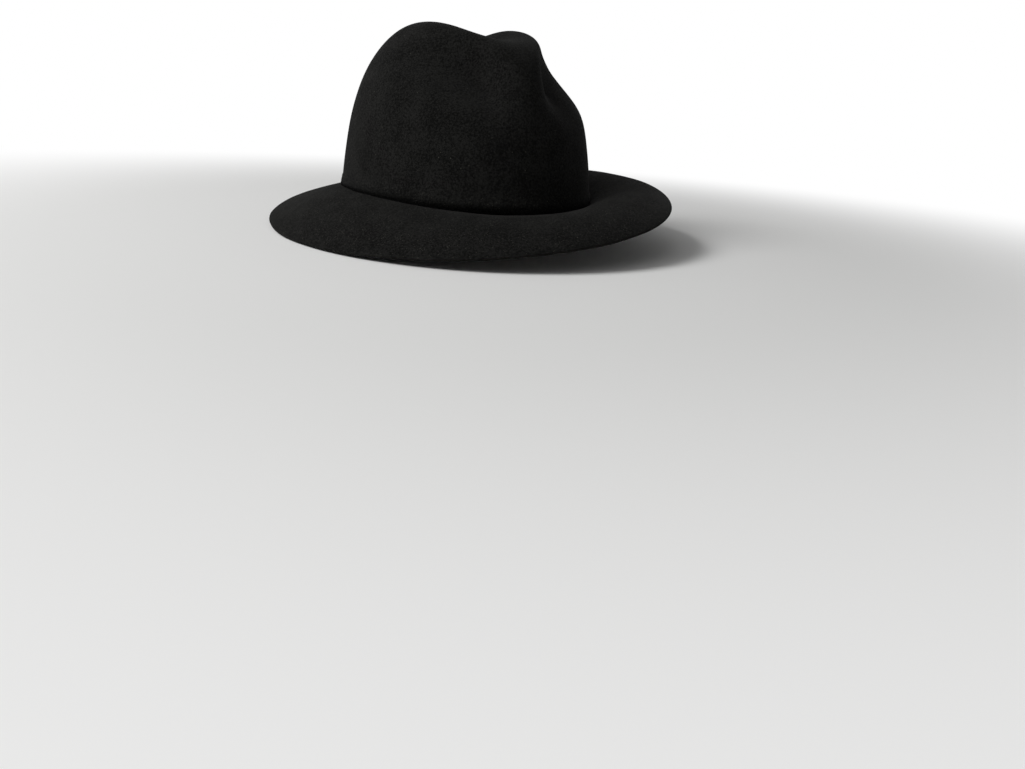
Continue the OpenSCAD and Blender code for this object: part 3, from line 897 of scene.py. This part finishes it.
def gathers(phi, height):
    """Folds that grow from the leather up, uneven in width, and are flattened again at the seam."""
    a = math.radians(phi)
    wander = 2.2 * noise.noise(Vector((2.5 * math.cos(a), 2.5 * math.sin(a), height / (60 * MM))))
    fold = 0.5 + 0.5 * math.sin(GATHERS * a + 3 * wander)
    grow = smooth((height - leather_top) / GATHER_GROWS)
    flat = 1 - 0.93 * smooth((height - lining_seam + GATHER_ENDS) / GATHER_END_REACH)
    strength = 0.7 + 0.5 * noise.noise(Vector((6 * math.cos(a), 6 * math.sin(a), 4)))
    return GATHER_DEPTH * fold * grow * flat * strength


print("gathers round the hat:", GATHERS)

# %% Side of the lining
SIDE_ROWS, SIDE_COLUMNS, SIDE_EDGE_ROWS = 22, 624, 3
bm = bmesh.new()
section = band(leather_top - LINING_TUCK, lining_seam, lining_depth, SATIN, SIDE_ROWS, SIDE_EDGE_ROWS)
spin_band(bm, section, SIDE_COLUMNS)
lay(bm, gathers)
lining_wall = finish_piece("lining_side_satin", bm, ["lining_side"])

# %% [markdown]
# ## The tip of the lining
#
# The tip is one oval of satin, pulled in by its seam and left slack in the middle. It is spun as a thin cap
# and laid under the crease, so it dips where the felt dips. A flat disc would cut through the crease.

# %% Outline of the tip
TIP_ROWS, TIP_COLUMNS = 30, 312
TIP_PUCKER, TIP_SLACK = 0.7 * MM, 1.6 * MM
PUCKER_FROM_SEAM, PUCKER_REACH = 5, 6
first_rise = rise_of(lining_seam + 2 * LAYER_GAP)
tip_depth = tape_depth + LINING_HANG
tip_rises = [math.radians(90 + (first_rise - 90) * i / TIP_ROWS) for i in range(TIP_ROWS + 1)]
tip_outline = [((1 - tip_depth) * math.cos(a), (1 - tip_depth) * math.sin(a)) for a in tip_rises]
tip_outline += [((1 - tip_depth - SATIN) * math.cos(a), (1 - tip_depth - SATIN) * math.sin(a))
                for a in reversed(tip_rises)]
print("points in the tip's outline:", len(tip_outline))


# %% Slack of the tip
def tip_slack(phi, rise):
    """Puckers along the seam, and a slack middle."""
    a = math.radians(phi)
    inward = smooth((rise - first_rise) / (90 - first_rise))
    wander = 4 * noise.noise(Vector((3 * math.cos(a), 3 * math.sin(a), 0)))
    pucker = 0.5 + 0.5 * math.sin(GATHERS * 1.5 * a + wander)
    near_seam = bell((rise - first_rise - PUCKER_FROM_SEAM) / PUCKER_REACH)
    soft = 0.5 + noise.noise(Vector((2 * math.cos(a) * (1 - inward), 2 * math.sin(a) * (1 - inward), 9)))
    return TIP_PUCKER * pucker * near_seam + TIP_SLACK * inward * soft


bm = bmesh.new()
spin_outline(bm, tip_outline, TIP_COLUMNS)
for v in bm.verts:
    phi = round(math.degrees(math.atan2(v.co.x, -v.co.y)), 3)
    rise = round(math.degrees(math.atan2(v.co.z, math.hypot(v.co.x, v.co.y))), 3)
    point, normal = crown_frame(phi, rise)
    v.co = point - normal * (1 - v.co.length + tip_slack(phi, rise))
lining_top = finish_piece("lining_tip_satin", bm, ["lining_tip"])

# %% [markdown]
# ## The piping
#
# A cord in a satin cover stiffens the seam. The cover is wound on aslant, which shows as fine slanting
# waists. Ten sides are enough for a cord this thin, so it is a spun ring whose points are drawn in along a
# helix.

# %% Cross-section of the piping
PIPING_SIDES, PIPING_COLUMNS, PIPING_TWISTS, PIPING_WAIST = 10, 720, 150, 0.1
piping_depth = lining_depth(lining_seam) + SATIN + LAYER_GAP + PIPING / 2
piping_height = lining_seam + LAYER_GAP
piping_turns = [math.tau * i / PIPING_SIDES for i in range(PIPING_SIDES)]
piping_section = [(piping_depth - PIPING / 2 * math.cos(t), piping_height + PIPING / 2 * math.sin(t))
                  for t in piping_turns]
print("piping, mm thick:", round(PIPING / MM, 1))

# %% Piping
bm = bmesh.new()
spin_band(bm, piping_section, PIPING_COLUMNS)
for v in bm.verts:
    phi, height, depth = spun_place(v.co)
    turn = math.atan2(height - piping_height, piping_depth - depth)
    waist = 1 - PIPING_WAIST * math.cos(turn - math.radians(PIPING_TWISTS * phi)) ** 2
    way = Vector((v.co.x, v.co.y, 0)).normalized()
    middle = way * (1 - piping_depth) + Vector((0, 0, piping_height))
    v.co = middle + (v.co - middle) * waist
lay(bm)
piping = finish_piece("lining_seam_piping", bm, ["lining_piping"])

# %% [markdown]
# ## Satin
#
# Satin shines because its threads float over each other in long runs, so its highlights are drawn out in
# faint lines. Fine noise stands for the runs, and an anisotropic gloss draws the highlight out. A plain
# glossy cloth would look like plastic.

# %% Satin
LINING_DARK, LINING_LIGHT = (0.29, 0.255, 0.21), (0.39, 0.345, 0.29)
PIPING_DARK, PIPING_LIGHT = (0.11, 0.095, 0.08), (0.17, 0.145, 0.12)
FLOAT, SATIN_CLOUD, SATIN_RELIEF = 0.35 * MM, 12 * MM, 0.05 * MM


def satin_finish(name, shade, shine):
    f = Finish(name)
    float_lines = f.noise(FLOAT, 2.0)
    tone = f.step(f.noise(SATIN_CLOUD, 3.0), 0.35, 0.65) * 0.5 + float_lines * 0.5
    rough = f.step(float_lines, 0.3, 0.7) * 0.12 + 0.3
    return f.surface(f.blend(tone, shade, shine), rough, f.bump(float_lines, SATIN_RELIEF, 0.5),
                     Sheen_Weight=0.2, Sheen_Roughness=0.3, Specular_IOR_Level=0.6, Anisotropic=0.4)


lining_cloth = satin_finish("lining_cloth", LINING_DARK, LINING_LIGHT)
for piece in (lining_wall, lining_top):
    piece.data.materials.append(lining_cloth)
piping.data.materials.append(satin_finish("piping_cloth", PIPING_DARK, PIPING_LIGHT))
print("satin on:", [piece.name for piece in (lining_wall, lining_top, piping)])

# %% [markdown]
# ## Parts that stay as built
#
# The reed, its sleeve and the tape behind the seam are right as they come from the construction model, and
# they hardly show. They get a finish of their own: milky plastic, drawn brass and black tape.

# %% Plastic and brass
PLASTIC_DARK, PLASTIC_LIGHT = (0.62, 0.6, 0.53), (0.78, 0.75, 0.67)
BRASS_DARK, BRASS_LIGHT = (0.55, 0.4, 0.17), (0.75, 0.58, 0.28)


def plastic_finish():
    f = Finish("reed_plastic")
    cloud = f.noise(3 * MM, 3.0)
    return f.surface(f.blend(cloud, PLASTIC_DARK, PLASTIC_LIGHT), cloud * 0.2 + 0.3,
                     f.bump(f.noise(0.6 * MM), 0.03 * MM, 0.4))


def brass_finish():
    f = Finish("drawn_brass")
    drawn = f.noise(0.4 * MM, 4.0)
    return f.surface(f.blend(f.noise(2 * MM), BRASS_DARK, BRASS_LIGHT), drawn * 0.25 + 0.2,
                     f.bump(drawn, 0.02 * MM, 0.5), Metallic=1.0)


kept_parts = {"sweatband_reed": plastic_finish(), "reed_sleeve": brass_finish(),
              "back_seam_tape": tape_cloth}
for node_name, material in kept_parts.items():
    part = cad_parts[node_name]
    part.data.materials.clear()
    part.data.materials.append(material)
print("kept from the construction model:", list(kept_parts))

# %% [markdown]
# ## Sheets of cloth
#
# The two pieces of the lining are sheets. The side strip is as long as the crown is round, with a little
# more for the gathers. The tip is an oval.

# %% [markdown]
# ## The studio
#
# The floor is pale and fades to white away from the hat, so no horizon shows. White comes from what the
# camera sees of the floor and the world, not from more light, and the floor keeps the hat's shadow. Seen
# from below, the floor is clear, because the inside of a hat is worth a look too. A curved backdrop would
# hide the horizon as well, but only from one side.

# %% Floor
FLOOR_SIZE, FLOOR_DROP = 12, 0.2 * MM
bm = bmesh.new()
bmesh.ops.create_grid(bm, x_segments=1, y_segments=1, size=FLOOR_SIZE)
bmesh.ops.translate(bm, verts=bm.verts, vec=(0, 0, cad_low.z - FLOOR_DROP))
mesh = bpy.data.meshes.new("floor")
bm.to_mesh(mesh)
bm.free()
floor = bpy.data.objects.new("floor", mesh)
scene.collection.objects.link(floor)
print("floor, mm under the break:", round(-mesh.vertices[0].co.z / MM, 1))

# %% What is seen directly
DIRECT_RAYS = ("Is Camera Ray", "Is Glossy Ray", "Is Transmission Ray")


def seen_directly(f):
    """1 for what the camera, a mirror or glass sees, and 0 for light that falls on the hat."""
    seen = [f.node("ShaderNodeLightPath", output=name) for name in DIRECT_RAYS]
    return seen[0].math("MAXIMUM", seen[0].math("MAXIMUM", seen[0], seen[1]), seen[2])


print("seen directly:", DIRECT_RAYS)


# %% Floor finish
FADE_START, FADE_END = 0.26, 0.75
FLOOR_PALE, PURE_WHITE = (0.84, 0.84, 0.83), (1, 1, 1, 1)
f = Finish("pale_floor")
away = f.node("ShaderNodeVectorMath", {"operation": "LENGTH"}, {0: f.place()}, "Value")
plain = f.shader(FLOOR_PALE, 0.9)
white = f.node("ShaderNodeEmission", {}, {"Color": PURE_WHITE, "Strength": 1.0})
fade = f.step(away, FADE_START, FADE_END) * seen_directly(f)
pale = f.node("ShaderNodeMixShader", {}, {0: fade, 1: plain, 2: white})
from_below = f.node("ShaderNodeNewGeometry", output="Backfacing")
clear = f.node("ShaderNodeBsdfTransparent")
two_sided = f.node("ShaderNodeMixShader", {}, {0: from_below, 1: pale, 2: clear})
f.node("ShaderNodeOutputMaterial", {}, {0: two_sided})
floor.data.materials.append(f.owner)
print("floor fades to white between", FADE_START, "and", FADE_END, "m")

# %% [markdown]
# ## The room's light
#
# A plain dim world fills every shade evenly, as white walls do. A lit picture of a room would do it too,
# but it would bring its own colours. To the camera, to a mirror and through glass the same world is white.

# %% World
WORLD_LIGHT, WORLD_SEEN = 0.12, 1.0
world = bpy.data.worlds.new("world")
scene.world = world
f = Finish("world", world)
dim = f.node("ShaderNodeBackground", {}, {"Color": PURE_WHITE, "Strength": WORLD_LIGHT})
white = f.node("ShaderNodeBackground", {}, {"Color": PURE_WHITE, "Strength": WORLD_SEEN})
lit_and_seen = f.node("ShaderNodeMixShader", {}, {0: seen_directly(f), 1: dim, 2: white})
f.node("ShaderNodeOutputWorld", {}, {0: lit_and_seen})
print("world light:", WORLD_LIGHT)

# %% [markdown]
# ## Camera
#
# The camera stands close, looks down a little and sees the hat from the front of its right side. It is
# placed by angles round the hat and then slid sideways and down in its own plane. A Track To constraint
# would aim it too, but it could not hold this small roll.

# %% Camera
CAMERA_TURN, CAMERA_RISE, CAMERA_ROLL = -31.9, 21.0, -3.6
CAMERA_DISTANCE = 537.5 * MM
HAT_LEFT, HAT_ABOVE = 35.7 * MM, 143.4 * MM
LENS, SENSOR = 25.3, 36


def camera_axes():
    a, e, r = (math.radians(v) for v in (CAMERA_TURN, CAMERA_RISE, CAMERA_ROLL))
    back = Vector((math.sin(a) * math.cos(e), -math.cos(a) * math.cos(e), math.sin(e)))
    right = Vector((math.cos(a), math.sin(a), 0))
    up = back.cross(right)
    return math.cos(r) * right - math.sin(r) * up, math.cos(r) * up + math.sin(r) * right, back


right, up, back = camera_axes()
lens = bpy.data.cameras.new("camera")
lens.sensor_width, lens.lens, lens.clip_start = SENSOR, LENS, 10 * MM
camera = bpy.data.objects.new("camera", lens)
scene.collection.objects.link(camera)
camera.matrix_world = Matrix((right, up, back)).transposed().to_4x4()
camera.location = back * CAMERA_DISTANCE + right * HAT_LEFT - up * HAT_ABOVE
scene.camera = camera
print("camera, mm from the hat:", round(camera.location.length / MM))

# %% [markdown]
# ## Lamps
#
# The key is a soft window to the camera's left, which leaves the far front of the crown dark. A weak wide
# lamp fills the shade. Square lamps have soft shadows like a window's, where a point lamp's would be hard.

# %% Lamps
LAMP_AIM = Vector((0, 0, 40 * MM))


def soft_lamp(name, towards, distance, size, power):
    """A square lamp that shines on the middle of the hat."""
    data = bpy.data.lights.new(name, "AREA")
    data.shape, data.size, data.energy = "SQUARE", size, power
    lamp = bpy.data.objects.new(name, data)
    scene.collection.objects.link(lamp)
    way = Vector(towards).normalized()
    lamp.location = LAMP_AIM + way * distance
    lamp.rotation_euler = way.to_track_quat("Z", "Y").to_euler()


towards_camera = Vector((back.x, back.y, 0)).normalized()
to_the_right = Vector((-towards_camera.y, towards_camera.x, 0))
overhead = Vector((0, 0, 1))
window_way = -0.85 * to_the_right + 0.42 * towards_camera + 0.72 * overhead
room_way = -0.4 * to_the_right + 0.6 * towards_camera + 0.9 * overhead
soft_lamp("window", window_way, distance=2.6, size=1.0, power=58)
soft_lamp("room", room_way, distance=2.2, size=1.6, power=5)

# %% View transform
scene.view_settings.view_transform = "Standard"
